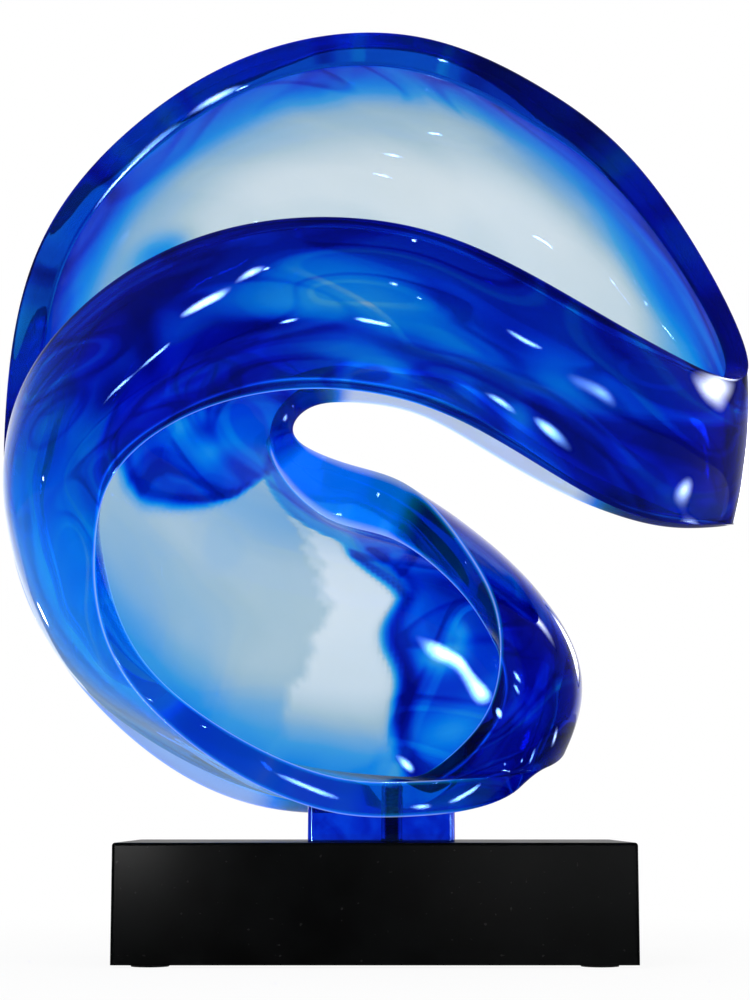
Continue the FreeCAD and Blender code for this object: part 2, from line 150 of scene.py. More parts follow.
# Where the blue gathered or thinned while the glass was poured, and painted highlights: the station,
# how far across, the reach along and across, and the change of depth
POURS_AND_PAINTED_HIGHLIGHTS = [
    (2.70, 0.40, 0.32, 0.20, 0.24),
    (5.15, 0.62, 0.42, 0.15, 0.32),
    (5.95, 0.45, 0.14, 0.28, 0.22),
    (5.60, 0.16, 0.50, 0.09, 0.14),
    (6.45, 0.60, 0.30, 0.12, 0.16),
    (4.20, 0.40, 0.60, 0.12, -0.14),
    (4.75, 0.60, 0.30, 0.05, 0.26),
    (3.30, 0.30, 0.22, 0.06, 0.20),
    (1.90, 0.62, 0.30, 0.04, 0.22),
    (4.10, 0.82, 0.35, 0.07, -0.18),
    (3.55, 0.62, 0.25, 0.10, 0.20),
    (3.05, 0.84, 0.14, 0.09, -0.26),
    (2.60, 0.84, 0.14, 0.09, -0.30),
    (2.15, 0.55, 0.35, 0.12, -0.20),
    (1.60, 0.40, 0.30, 0.14, 0.12),
    (1.55, 0.75, 0.22, 0.10, -0.16),
    (1.10, 0.86, 0.20, 0.09, -0.30),
    (7.10, 0.50, 0.35, 0.16, -0.12),
    (8.20, 0.75, 0.40, 0.12, -0.08),
    (16.4, 0.45, 0.50, 0.25, 0.08),
    (15.9, 0.25, 0.30, 0.12, -0.20),
    (18.9, 0.45, 0.35, 0.14, 0.18),
    # painted highlights: these two strongly lighter spots in the bowl stand in for white glints, not
    # thinner blue
    (19.12, 0.70, 0.20, 0.035, -0.62),
    (18.95, 0.63, 0.10, 0.05, -0.45),
    (19.0, 0.88, 0.30, 0.04, -0.30),
    (21.6, 0.38, 0.25, 0.08, 0.22),
    (21.5, 0.22, 0.14, 0.07, -0.30),
    (21.9, 0.30, 0.12, 0.10, -0.25),
    (23.6, 0.60, 0.22, 0.08, 0.30),
]

# The lines in the bowl where one pour of blue ends and the next begins: how far
# across the band, and which station each passes there
DEEP_SHORE_SHARES = [
    (0.00, 21.30), (0.06, 21.00), (0.17, 20.50), (0.22, 20.00), (0.36, 19.70),
    (0.50, 19.52), (0.67, 19.57), (0.80, 19.52), (0.89, 19.40), (1.00, 19.25),
]
GREY_SHORE_SHARES = [
    (0.00, 20.70), (0.18, 20.45), (0.27, 20.32), (0.49, 20.12), (0.56, 20.07),
    (0.69, 20.18), (0.82, 20.33), (1.00, 20.45),
]
# and the scalloped line round the deeper pour under the crest: which station,
# and how far across the band it is there
SCALLOP_SHARES = [
    (20.85, 0.00), (20.93, 0.08), (20.98, 0.23), (21.15, 0.36), (21.32, 0.44),
    (21.57, 0.54), (21.77, 0.56), (22.20, 0.50), (22.80, 0.35), (23.40, 0.10),
]

# what keeps a place at the very end of a table inside its last cell
END_MARGIN = 1e-6
# the stations whose rows hold the deep, the white and the grey pour in the bowl
DEEP_STATION, WHITE_STATION, GREY_STATION = 19.0, 20.0, 21.0
# how each shore wavers: the size of each wave in stations, its rate over the share
# across, and its phase
DEEP_SHORE_WAVES = [(0.06, 23, 0.0)]
GREY_SHORE_WAVES = [(0.025, 41, 0.0), (0.02, 97, 1.3)]
# how many stations the change of blue at each shore takes
DEEP_SHORE_WIDTH, GREY_SHORE_WIDTH = 0.15, 0.08
# the dark line just before the deep shore: how much deeper it is, how far before the
# shore and how wide, in stations, and from where across the band
SHORE_LINE_BLUE, SHORE_LINE_BEFORE, SHORE_LINE_WIDTH = 0.42, 0.06, 0.085
SHORE_LINE_START, SHORE_LINE_FADE = 0.25, 0.1
# the deeper pour under the crest, and the darker line round it
UNDER_BLUE, UNDER_FADE = 0.55, 0.06
BRINK_BLUE, BRINK_WIDTH = 0.42, 0.03

# Stretches of the band: the station where each starts and ends, and how many
# stations it fades in and out over. The band's two edges are one edge, so the
# stations of the edge and of its arrises count on from the first to the second.
UNDER_STRETCH = (20.9, 23.4, 0.1, 0.8)
BRINK_STRETCH = (20.9, 22.6, 0.1, 0.5)
HOOK_EDGE = (18.6, 21.4, 0.5, 0.6)
GAP_EDGE = (23.0, 28.0, 1.0, 1.0)
LOW_LEFT_EDGE = (50.0, 52.7, 0.6, 0.6)
PAINTED_HIGHLIGHT_ARRISES = [(13.6, 21.6, 1.0, 0.4), (32.6, 44.4, 1.0, 1.0)]
LEFT_SIDE = (6.3, 13.0, 2.7, 1.0)

# the blue of the edge face, as a share of the blue beside it, and how much less of
# it there is at the lower left
RIM_SHARE = 0.85
LOW_LEFT_LOSS = 0.65
# how strong the painted light is, a glow painted into the glass: on the edge face over the hook,
# over the gap and at the lower left, the painted highlight along the arrises, and the glow at the left
# side
HOOK_PAINTED_GLOW, GAP_PAINTED_GLOW, LOW_LEFT_PAINTED_GLOW = 0.5, 1.0, 0.7
ARRIS_PAINTED_HIGHLIGHT = 0.75
LEFT_PAINTED_GLOW = 0.30

STEPS_ALONG = 24
STEPS_ACROSS = 60
STEPS_RIM = 8

# how far the casting's faces wander from true, and over what length; the share and
# the rate of the finer waves among them; and how near the neck the faces are true
WAVE_HEIGHT = 0.0010
WAVE_LENGTH = 0.055
FINE_WAVE_SHARE, FINE_WAVE_RATE = 0.4, 2.3
STILL_RADIUS = 0.045

# the marks in the blue are taken from a plain hoop of this radius and breadth, which
# stands for the band, so that they follow it round
FLOW_RADIUS = 0.34
FLOW_BREADTH = 0.16

# the small bevel along the arrises, and the angle from which an edge shows as sharp
ARRIS_RADIUS = 0.0012
ARRIS_SEGMENTS = 3
ARRIS_ANGLE = math.radians(35)
SHARP_ANGLE = math.radians(40)

DRILL_SIDES = 48


def rolled(rows, by):
    return np.roll(rows, -by, axis=0)


def closed_curve_poles(places):
    """Poles of the closed, evenly knotted cubic curve through the places."""
    poles = places.copy()
    for _ in range(RELAXATIONS):
        poles = (6 * places - rolled(poles, -1) - rolled(poles, 1)) / 4
    return poles


def unit(vectors):
    return vectors / np.linalg.norm(vectors, axis=-1, keepdims=True)


def smooth(share):
    """0 below 0, 1 above 1, and an even S between."""
    share = np.clip(share, 0.0, 1.0)
    return share * share * (3 - 2 * share)


def stretch(place, start, end, fade_in, fade_out):
    """1 inside a stretch, 0 outside it, with soft ends."""
    return smooth((place - start) / fade_in) * smooth((end - place) / fade_out)


def hump(place, width):
    """1 at 0, falling to 0 on both sides."""
    return np.exp(-((place / width) ** 2))


def band_rows():
    """Poles of the middle surface and the thickness at each, twice round the band."""
    size = np.array([BAND_WIDTH, BAND_DEPTH, BAND_HEIGHT])
    lift = np.array([0.0, 0.0, BAND_UNDERSIDE + BAND_THICKNESS / 2])
    first, middle, second = (
        np.array([station[part] for station in STATION_SHARES]) * size + lift
        for part in range(3)
    )
    count = len(STATION_SHARES)
    edge = closed_curve_poles(np.concatenate([first, second]))
    first, second = edge[:count], edge[count:]
    middle = closed_curve_poles(middle)

    crown = (8 * middle - first - second) / 6
    lean = (first - second) * (SPREAD_SHARE / 2)
    rows = np.stack([first, crown + lean, crown - lean, second], axis=1)

    ends = np.array([station[3:] for station in STATION_SHARES]) * BAND_THICKNESS
    inside = ends.mean(axis=1) * MIDDLE_THICKNESS_SHARE
    thickness = np.stack([ends[:, 0], inside, inside, ends[:, 1]], axis=1)
    rows = np.concatenate([rows, rows[:, ::-1]])
    thickness = np.concatenate([thickness, thickness[:, ::-1]])
    return rows, thickness


def skin_rows(rows, thickness):
    """Poles of the skin, half a thickness out from the middle surface."""
    along = rolled(rows, 1) - rolled(rows, -1)
    across = np.empty_like(rows)
    across[:, 0] = rows[:, 1] - rows[:, 0]
    across[:, 1:3] = rows[:, 2:] - rows[:, :2]
    across[:, 3] = rows[:, 3] - rows[:, 2]
    return rows + unit(np.cross(along, across)) * thickness[..., None] / 2


def rim_rows(rows, skin):
    """Poles of the edge face, from one skin to the other, bulged a little outwards."""
    near = skin[:, 0]
    far = rolled(skin, len(rows) // 2)[:, 3]
    out = unit(rows[:, 0] - rows[:, 1]) * BAND_EDGE_BULGE
    third = (far - near) / 3
    return np.stack([near, near + third + out, far - third + out, far], axis=1)


def along_weights():
    """The uniform cubic's weights at the steps of one span."""
    t = (np.arange(STEPS_ALONG) / STEPS_ALONG)[:, None]
    near = [3 * t**3 - 6 * t**2 + 4, -3 * t**3 + 3 * t**2 + 3 * t + 1]
    return np.hstack([(1 - t) ** 3, *near, t**3]) / 6


def points_of(rows, steps):
    """The surface with these poles: points along the band by points across it."""
    near = np.stack([rolled(rows, k) for k in (-1, 0, 1, 2)], axis=1)
    lines = np.einsum("sk,ikjx->isjx", along_weights(), near).reshape(-1, 4, 3)
    t = (np.arange(steps + 1) / steps)[:, None]
    bezier = np.hstack([(1 - t) ** 3, 3 * t * (1 - t) ** 2, 3 * t**2 * (1 - t), t**3])
    return np.einsum("vj,ujx->uvx", bezier, lines)


def table_depth(station, across):
    """The blue of the table at places along and across one lap of the band."""
    shares = np.array(DEPTH_SHARES)
    shares = np.concatenate([shares, shares[:1, ::-1]])
    station = np.clip(station, 0.0, len(DEPTH_SHARES) - END_MARGIN)
    row = station.astype(int)
    along = smooth(station - row)
    last = shares.shape[1] - 1
    place = np.clip(across * last, 0.0, last - END_MARGIN)
    column = place.astype(int)
    over = smooth(place - column)
    near = shares[row, column] * (1 - over) + shares[row, column + 1] * over
    far = shares[row + 1, column] * (1 - over) + shares[row + 1, column + 1] * over
    return near * (1 - along) + far * along


def shore(across, shares, waves):
    """The station where a pour ends, at places across the band."""
    stations = np.interp(across, *zip(*shares))
    for reach, rate, start in waves:
        stations = stations + reach * np.sin(rate * across + start)
    return stations


def blue_depths():
    """The depth of blue over the band, once round it and then turned over."""
    across = np.arange(STEPS_ACROSS + 1) / STEPS_ACROSS
    station = np.arange(len(DEPTH_SHARES) * STEPS_ALONG) / STEPS_ALONG
    station, across = np.meshgrid(station, across, indexing="ij")
    deep_shore = shore(across, DEEP_SHORE_SHARES, DEEP_SHORE_WAVES)
    grey_shore = shore(across, GREY_SHORE_SHARES, GREY_SHORE_WAVES)
    past_deep = smooth((station - deep_shore) / DEEP_SHORE_WIDTH + 0.5)
    past_grey = smooth((station - grey_shore) / GREY_SHORE_WIDTH + 0.5)

    white = table_depth(np.full_like(station, WHITE_STATION), across)
    grey = table_depth(np.maximum(station, GREY_STATION), across)
    deep = table_depth(np.minimum(station, DEEP_STATION), across)
    depth = deep * (1 - past_deep) + (white * (1 - past_grey) + grey * past_grey) * past_deep
    depth = np.where(station < DEEP_STATION, table_depth(station, across), depth)

    line = hump(station - deep_shore + SHORE_LINE_BEFORE, SHORE_LINE_WIDTH)
    depth += SHORE_LINE_BLUE * line * smooth((across - SHORE_LINE_START) / SHORE_LINE_FADE)

    scallop = np.interp(station, *zip(*SCALLOP_SHARES))
    under = smooth((scallop - across) / UNDER_FADE + 0.5) * stretch(station, *UNDER_STRETCH)
    brink = hump(across - scallop, BRINK_WIDTH) * stretch(station, *BRINK_STRETCH)
    depth += UNDER_BLUE * under + BRINK_BLUE * brink
    for place, share, along, over, change in POURS_AND_PAINTED_HIGHLIGHTS:
        depth += change * hump(station - place, along) * hump(across - share, over)
    return np.concatenate([depth, depth[:, ::-1]])


def flows():
    """Where each point is along and across the band, for marks that follow it."""
    count = 2 * len(STATION_SHARES) * STEPS_ALONG
    turn = 2 * math.pi * np.arange(count) / count
    across = np.arange(STEPS_ACROSS + 1) / STEPS_ACROSS
    across, turn = np.meshgrid(across, turn)
    flow = [FLOW_RADIUS * np.cos(turn), FLOW_RADIUS * np.sin(turn), FLOW_BREADTH * across]
    return np.stack(flow, axis=-1)


def wander(place):
    """How far a place on the casting's face is from true."""
    broad = noise.noise(Vector(place) / WAVE_LENGTH)
    fine = noise.noise(Vector(place) * FINE_WAVE_RATE / WAVE_LENGTH)
    return (broad + FINE_WAVE_SHARE * fine) * WAVE_HEIGHT


def ripple(face):
    """Moves the face's points a little along its normals, away from edges and neck."""
    du = np.roll(face, -1, axis=0) - np.roll(face, 1, axis=0)
    dv = np.gradient(face, axis=1)
    normals = unit(np.cross(du, dv))
    calm = np.sin(math.pi * np.arange(STEPS_ACROSS + 1) / STEPS_ACROSS) ** 0.5
    foot = np.array([(NECK_LOW.x + NECK_HIGH.x) / 2, (NECK_LOW.y + NECK_HIGH.y) / 2, NECK_HIGH.z])
    for u in range(len(face)):
        for v in range(1, STEPS_ACROSS):
            from_neck = np.linalg.norm(face[u, v] - foot)
            settle = min(1.0, max(0.0, from_neck / STILL_RADIUS - 1))
            face[u, v] += normals[u, v] * (wander(face[u, v]) * calm[v] * settle)


def band_faces(count):
    """The faces between the points of the skin and, numbered after them, of the rim."""
    lap, skin_count = count // 2, count * (STEPS_ACROSS + 1)

    def on_skin(u, v):
        return (u % count) * (STEPS_ACROSS + 1) + v

    def on_rim(u, w):
        u %= count
        if w == 0:
            return on_skin(u, 0)
        if w == STEPS_RIM:
            return on_skin(u + lap, STEPS_ACROSS)
        return skin_count + u * (STEPS_RIM - 1) + w - 1

    faces = []
    for u in range(count):
        for v in range(STEPS_ACROSS):
            faces.append((on_skin(u, v), on_skin(u + 1, v), on_skin(u + 1, v + 1), on_skin(u, v + 1)))
        for w in range(STEPS_RIM):
            faces.append((on_rim(u, w), on_rim(u, w + 1), on_rim(u + 1, w + 1), on_rim(u + 1, w)))
    return faces


def painted_glow_at(station):
    """How strong the painted glow is at the skin's points and on the rim, at these stations."""
    over_hook, over_gap = stretch(station, *HOOK_EDGE), stretch(station, *GAP_EDGE)
    low_left = stretch(station, *LOW_LEFT_EDGE)
    rim = HOOK_PAINTED_GLOW * over_hook + GAP_PAINTED_GLOW * over_gap + LOW_LEFT_PAINTED_GLOW * low_left
    arris = np.maximum(*(stretch(station, *part) for part in PAINTED_HIGHLIGHT_ARRISES))
    left = LEFT_PAINTED_GLOW * stretch(station % len(STATION_SHARES), *LEFT_SIDE)
    skin = np.repeat(left[:, None], STEPS_ACROSS + 1, axis=1)
    skin[:, 0] = np.maximum(np.maximum(rim, ARRIS_PAINTED_HIGHLIGHT * arris), left)
    skin[:, -1] = np.roll(skin[:, 0], len(station) // 2)
    return skin, rim


def on_rim_too(skin_values, rim_values):
    """Values for all points: the skin's own, then the rim's, the same across it."""
    rim_values = np.repeat(rim_values[:, None], STEPS_RIM - 1, axis=1)
    width = skin_values.shape[2:]
    return np.concatenate([skin_values.reshape(-1, *width), rim_values.reshape(-1, *width)])


def band_mesh():
    rows, thickness = band_rows()
    skin = skin_rows(rows, thickness)
    face = points_of(skin, STEPS_ACROSS)
    rim = points_of(rim_rows(rows, skin), STEPS_RIM)[:, 1:-1]
    ripple(face)
    places = np.concatenate([face.reshape(-1, 3), rim.reshape(-1, 3)])
    mesh = bpy.data.meshes.new("wave_glass")
    mesh.from_pydata(places.tolist(), [], band_faces(len(face)))

    station = np.arange(len(face)) / STEPS_ALONG
    depth = blue_depths()
    rim_share = RIM_SHARE * (1 - LOW_LEFT_LOSS * stretch(station, *LOW_LEFT_EDGE))
    flow = flows()
    marks = {
        "blue_depth": on_rim_too(depth, depth[:, 0] * rim_share),
        # painted light: the strength of the glow painted into the glass, which the material turns into
        # an emission
        "painted_glow": on_rim_too(*painted_glow_at(station)),
    }
    for name, values in marks.items():
        values = values.astype(np.float32)
        mesh.attributes.new(name, "FLOAT", "POINT").data.foreach_set("value", values)
    values = on_rim_too(flow, flow[:, 0]).astype(np.float32).ravel()
    mesh.attributes.new("flow", "FLOAT_VECTOR", "POINT").data.foreach_set("vector", values)
    mesh.shade_smooth()
    mesh.update()
    return mesh


def linked(name, data):
    piece = bpy.data.objects.new(name, data)
    bpy.context.scene.collection.objects.link(piece)
    return piece


def apply_modifiers(piece):
    """Turns a piece's modifiers into its mesh."""
    graph = bpy.context.evaluated_depsgraph_get()
    done = bpy.data.meshes.new_from_object(piece.evaluated_get(graph))
    piece.modifiers.clear()
    piece.data = done


def round_the_stud(mesh, radius, angle, z):
    return mesh.verts.new((STUD_X + radius * math.cos(angle), STUD_Y + radius * math.sin(angle), z))


def ring(mesh, radius, z, sides):
    return [round_the_stud(mesh, radius, 2 * math.pi * k / sides, z) for k in range(sides)]


def drill_piece():
    """The drill that leaves the blind hole in the band's underside."""
    mesh = bmesh.new()
    shoulder = BAND_UNDERSIDE + BLIND_HOLE_DEPTH
    low = ring(mesh, BORE_RADIUS, BAND_UNDERSIDE - NECK_GAP / 2, DRILL_SIDES)
    high = ring(mesh, BORE_RADIUS, shoulder, DRILL_SIDES)
    point = BORE_RADIUS / math.tan(DRILL_POINT_ANGLE / 2)
    tip = mesh.verts.new((STUD_X, STUD_Y, shoulder + point))
    mesh.faces.new(low[::-1])
    for k in range(DRILL_SIDES):
        after = (k + 1) % DRILL_SIDES
        mesh.faces.new((low[k], low[after], high[after], high[k]))
        mesh.faces.new((high[k], high[after], tip))
    data = bpy.data.meshes.new("drill")
    mesh.to_mesh(data)
    mesh.free()
    return linked("drill", data)


def make_band():
    band = linked("wave_glass", band_mesh())
    bevel = band.modifiers.new("edges", "BEVEL")
    bevel.width = ARRIS_RADIUS
    bevel.segments = ARRIS_SEGMENTS
    bevel.limit_method = "ANGLE"
    bevel.angle_limit = ARRIS_ANGLE
    bevel.use_clamp_overlap = True
    drill = drill_piece()
    hole = band.modifiers.new("hole", "BOOLEAN")
    hole.operation = "DIFFERENCE"
    hole.solver = "EXACT"
    hole.object = drill
    apply_modifiers(band)
    bpy.data.objects.remove(drill)
    band.data.shade_smooth()
    band.data.set_sharp_from_angle(angle=SHARP_ANGLE)
    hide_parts("wave_ribbon")
    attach(band, "root")
    return band


# The stud

THREAD_SIDES = 40
THREAD_STEPS = 6
STUD_CHAMFER = 0.001


def make_stud():
    """The stud with its rolled thread, chamfered at both ends."""
    radius = (STUD_HIGH.x - STUD_LOW.x) / 2
    mesh = bmesh.new()
    steps = round((STUD_HIGH.z - STUD_LOW.z) / THREAD_PITCH * THREAD_STEPS)
    rings = []
    for step in range(steps + 1):
        z = STUD_LOW.z + (STUD_HIGH.z - STUD_LOW.z) * step / steps
        from_end = min(z - STUD_LOW.z, STUD_HIGH.z - z)
        most = radius - max(0.0, STUD_CHAMFER - from_end)
        line = []
        for side in range(THREAD_SIDES):
            angle = 2 * math.pi * side / THREAD_SIDES
            turn = (z / THREAD_PITCH - side / THREAD_SIDES) % 1.0
            groove = THREAD_DEPTH * (1 - abs(2 * turn - 1))
            line.append(round_the_stud(mesh, min(most, radius - groove), angle, z))
        rings.append(line)
    for below, above in zip(rings, rings[1:]):
        for side in range(THREAD_SIDES):
            after = (side + 1) % THREAD_SIDES
            mesh.faces.new((below[side], below[after], above[after], above[side]))
    mesh.faces.new(rings[0][::-1])
    mesh.faces.new(rings[-1])
    data = bpy.data.meshes.new("threaded_stud")
    mesh.to_mesh(data)
    mesh.free()
    stud = linked("threaded_stud", data)
    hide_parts("mounting_stud")
    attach(stud, "root")
    return stud


# Materials


def nodes_of(name):
    material = bpy.data.materials.new(name)
    material.use_nodes = True
    tree = material.node_tree
    return material, tree.nodes, tree.links, tree.nodes["Principled BSDF"]


def ramp(nodes, stops, ease="EASE"):
    """A colour ramp through the stops, each a place and a colour."""
    node = nodes.new("ShaderNodeValToRGB")
    node.color_ramp.interpolation = ease
    elements = node.color_ramp.elements
    while len(elements) < len(stops):
        elements.new(0.5)
    for element, (place, colour) in zip(elements, stops):
        element.position = place
        element.color = (*colour, 1.0)
    return node


def grey_ramp(nodes, stops, ease="EASE"):
    """A ramp through the stops, each a place and how white it is there."""
    return ramp(nodes, [(place, (white, white, white)) for place, white in stops], ease)


def feed(links, socket, term):
    """Gives a socket its term, which is another socket or a plain number."""
    if isinstance(term, (int, float)):
        socket.default_value = term
    else:
        links.new(term, socket)


def sums(nodes, links, operation, *terms):
    """A math node of the terms."""
    node = nodes.new("ShaderNodeMath")
    node.operation = operation
    for socket, term in zip(node.inputs, terms):
        feed(links, socket, term)
    return node.outputs[0]


def eased(nodes, links, value, start, end, low=0.0, high=1.0):
    """Low where the value is at start or before, high from end on, eased between."""
    node = nodes.new("ShaderNodeMapRange")
    node.interpolation_type = "SMOOTHSTEP"
    limits = {"Value": value, "From Min": start, "From Max": end, "To Min": low, "To Max": high}
    for name, term in limits.items():
        feed(links, node.inputs[name], term)
    return node.outputs["Result"]


def mixed(nodes, links, weight, first, second):
    """The first shader where the weight is 0, the second where it is 1."""
    node = nodes.new("ShaderNodeMixShader")
    for socket, term in zip(node.inputs, (weight, first, second)):
        links.new(term, socket)
    return node.outputs[0]


def noise_on(nodes, links, vector, scale, detail, distortion):
    node = nodes.new("ShaderNodeTexNoise")
    node.inputs["Scale"].default_value = scale
    node.inputs["Detail"].default_value = detail
    node.inputs["Distortion"].default_value = distortion
    links.new(vector, node.inputs["Vector"])
    return node.outputs["Fac"]


# the blue from clear to deepest
BLUES = [
    (0.00, (0.98, 0.98, 0.98)),
    (0.13, (0.54, 0.68, 0.74)),
    (0.24, (0.17, 0.48, 0.86)),
    (0.34, (0.02, 0.37, 0.90)),
    (0.50, (0.0008, 0.23, 0.90)),
    (0.70, (0.0005, 0.07, 0.80)),
    (0.85, (0.0002, 0.012, 0.52)),
    (1.00, (0.0002, 0.0025, 0.22)),
]
# the share of light that the glass lets through; it scatters the rest in its own blue
CLEARNESS = 0.94
GLASS_INDEX = 1.5
GLOSS_TINT = (0.15, 0.35, 1.0, 1.0)
# painted light: the glow painted into the glass as an emission, in place of light gathered from
# the rest of the band: faint at the left side, blue on the edge over the hook, pale on the edge over
# the gap
PAINTED_GLOW_COLOURS = [
    (0.0, (0, 0, 0)),
    (0.3, (0.0, 0.062, 0.10)),
    (0.5, (0.0, 0.11, 0.50)),
    (0.9, (0.42, 0.50, 0.56)),
]
ABSORPTION_COLOUR = (0.0, 0.50, 0.90, 1.0)
ABSORPTION_DENSITY = 25.0

# the broad patches in the blue: the scale, detail and distortion of their noise, how
# far they change the blue, more where it is deep, and how sharply they end
PATCH_NOISE = (13.0, 1.0, 0.9)
PATCH_SHARE, LEAST_PATCH = 0.46, 0.02
PATCH_STOPS = [(0.38, 0.0), (0.475, 0.35), (0.515, 0.66), (0.62, 1.0)]
# the fine folds in it: their noise, the dark and the light ones as bands of that
# noise, how much deeper or lighter each is, and the blue in which they begin and
# are full, as the clear glass has none
FOLD_NOISE = (10.0, 0.0, 1.8)
DARK_FOLD_STOPS = [(0.46, 0.0), (0.50, 1.0), (0.56, 0.0)]
LIGHT_FOLD_STOPS = [(0.57, 0.0), (0.61, 1.0), (0.63, 1.0), (0.65, 0.0)]
DARK_FOLD_CHANGE, LIGHT_FOLD_CHANGE = 0.22, -0.20
FOLDS_FROM, FOLDS_FULL = 0.22, 0.55


def glass_body(nodes, links, shader, clearness, roughness):
    """Makes the shader a glass that also takes some of the light on its way through."""
    shader.inputs["Transmission Weight"].default_value = clearness
    shader.inputs["Roughness"].default_value = roughness
    shader.inputs["IOR"].default_value = GLASS_INDEX
    shader.inputs["Specular Tint"].default_value = GLOSS_TINT
    absorption = nodes.new("ShaderNodeVolumeAbsorption")
    absorption.inputs["Color"].default_value = ABSORPTION_COLOUR
    absorption.inputs["Density"].default_value = ABSORPTION_DENSITY
    links.new(absorption.outputs["Volume"], nodes["Material Output"].inputs["Volume"])


def attribute(nodes, name, output):
    node = nodes.new("ShaderNodeAttribute")
    node.attribute_name = name
    return node.outputs[output]


def patches(nodes, links, flow, depth):
    """The depth of blue with broad patches that are deeper or lighter."""
    patch = grey_ramp(nodes, PATCH_STOPS)
    links.new(noise_on(nodes, links, flow, *PATCH_NOISE), patch.inputs["Fac"])
    swing = sums(nodes, links, "SUBTRACT", patch.outputs["Color"], 0.5)
    reach = sums(nodes, links, "MULTIPLY_ADD", depth, PATCH_SHARE, LEAST_PATCH)
    return sums(nodes, links, "MULTIPLY_ADD", swing, reach, depth)


def folds(nodes, links, flow, depth, total):
    """The total depth of blue with fine dark and light folds where the glass is blue."""
    fine = noise_on(nodes, links, flow, *FOLD_NOISE)
    coloured = eased(nodes, links, depth, FOLDS_FROM, FOLDS_FULL)
    for stops, change in ((DARK_FOLD_STOPS, DARK_FOLD_CHANGE), (LIGHT_FOLD_STOPS, LIGHT_FOLD_CHANGE)):
        fold = grey_ramp(nodes, stops)
        links.new(fine, fold.inputs["Fac"])
        mark = sums(nodes, links, "MULTIPLY", fold.outputs["Color"], coloured)
        total = sums(nodes, links, "MULTIPLY_ADD", mark, change, total)
    return total


def blue_glass():
    material, nodes, links, shader = nodes_of("blue_glass")
    glass_body(nodes, links, shader, clearness=CLEARNESS, roughness=0.0)
    depth = attribute(nodes, "blue_depth", "Fac")
    flow = attribute(nodes, "flow", "Vector")
    colours = ramp(nodes, BLUES, "LINEAR")
    total = folds(nodes, links, flow, depth, patches(nodes, links, flow, depth))
    links.new(total, colours.inputs["Fac"])
    links.new(colours.outputs["Color"], shader.inputs["Base Color"])

    # painted light: the glass glows with the painted glow colours, though it is no lamp
    painted_glow_ramp = ramp(nodes, PAINTED_GLOW_COLOURS, "LINEAR")
    links.new(attribute(nodes, "painted_glow", "Fac"), painted_glow_ramp.inputs["Fac"])
    links.new(painted_glow_ramp.outputs["Color"], shader.inputs["Emission Color"])
    shader.inputs["Emission Strength"].default_value = 1.0
    return material


# The plainer materials: the scale, detail and distortion of each noise, and the
# tones that it goes through
NECK_ROUGHNESS = 0.02
NECK_NOISE = (60.0, 2.0, 1.0)
NECK_BLUES = [(0.35, (0.0006, 0.010, 0.42)), (0.5, (0.0010, 0.026, 0.60)), (0.65, (0.002, 0.060, 0.75))]

LACQUER_NOISE = (60.0, 4.0, 0.0)
LACQUER_TONES = [(0.3, (0.0006, 0.0007, 0.0008)), (0.7, (0.0014, 0.0017, 0.0019))]
LACQUER_ROUGHNESS = (0.25, 0.38)
LACQUER_GLOSS = 0.02
DUST_NOISE = (420.0, 0.0, 0.0)
DUST_STOPS = [(0.80, 0.0), (0.84, 1.0)]
DUST_TONE = (0.02, 0.02, 0.02, 1.0)

STEEL_NOISE = (400.0, 2.0, 0.0)
STEEL_TONES = [(0.3, (0.20, 0.205, 0.21)), (0.7, (0.34, 0.35, 0.36))]
STEEL_ROUGHNESS = 0.42

FELT_NOISE = (1500.0, 3.0, 0.0)
FELT_TONES = [(0.3, (0.010, 0.010, 0.012)), (0.7, (0.045, 0.045, 0.05))]
FELT_ROUGHNESS = 0.95
FELT_SHEEN = 0.3


def cloudy(nodes, links, noise_values, tones):
    """Noise over the piece itself, and the colour that it has at its tones."""
    place = nodes.new("ShaderNodeTexCoord").outputs["Object"]
    cloud = noise_on(nodes, links, place, *noise_values)
    colours = ramp(nodes, tones)
    links.new(cloud, colours.inputs["Fac"])
    return cloud, colours.outputs["Color"]


def neck_glass():
    material, nodes, links, shader = nodes_of("neck_glass")
    glass_body(nodes, links, shader, clearness=1.0, roughness=NECK_ROUGHNESS)
    _, blue = cloudy(nodes, links, NECK_NOISE, NECK_BLUES)
    links.new(blue, shader.inputs["Base Color"])
    return material


def black_lacquer():
    material, nodes, links, shader = nodes_of("black_lacquer")
    grain, black = cloudy(nodes, links, LACQUER_NOISE, LACQUER_TONES)
    place = nodes.new("ShaderNodeTexCoord").outputs["Object"]
    specks = grey_ramp(nodes, DUST_STOPS, "LINEAR")
    links.new(noise_on(nodes, links, place, *DUST_NOISE), specks.inputs["Fac"])
    dusty = nodes.new("ShaderNodeMix")
    dusty.data_type = "RGBA"
    links.new(specks.outputs["Color"], dusty.inputs["Factor"])
    links.new(black, dusty.inputs[6])
    dusty.inputs[7].default_value = DUST_TONE
    links.new(dusty.outputs[2], shader.inputs["Base Color"])
    rough = nodes.new("ShaderNodeMapRange")
    for limit, value in zip(("To Min", "To Max"), LACQUER_ROUGHNESS):
        rough.inputs[limit].default_value = value
    links.new(grain, rough.inputs["Value"])
    links.new(rough.outputs["Result"], shader.inputs["Roughness"])
    shader.inputs["Specular IOR Level"].default_value = LACQUER_GLOSS
    return material


def steel():
    material, nodes, links, shader = nodes_of("stud_steel")
    _, grey = cloudy(nodes, links, STEEL_NOISE, STEEL_TONES)
    links.new(grey, shader.inputs["Base Color"])
    shader.inputs["Metallic"].default_value = 1.0
    shader.inputs["Roughness"].default_value = STEEL_ROUGHNESS
    return material


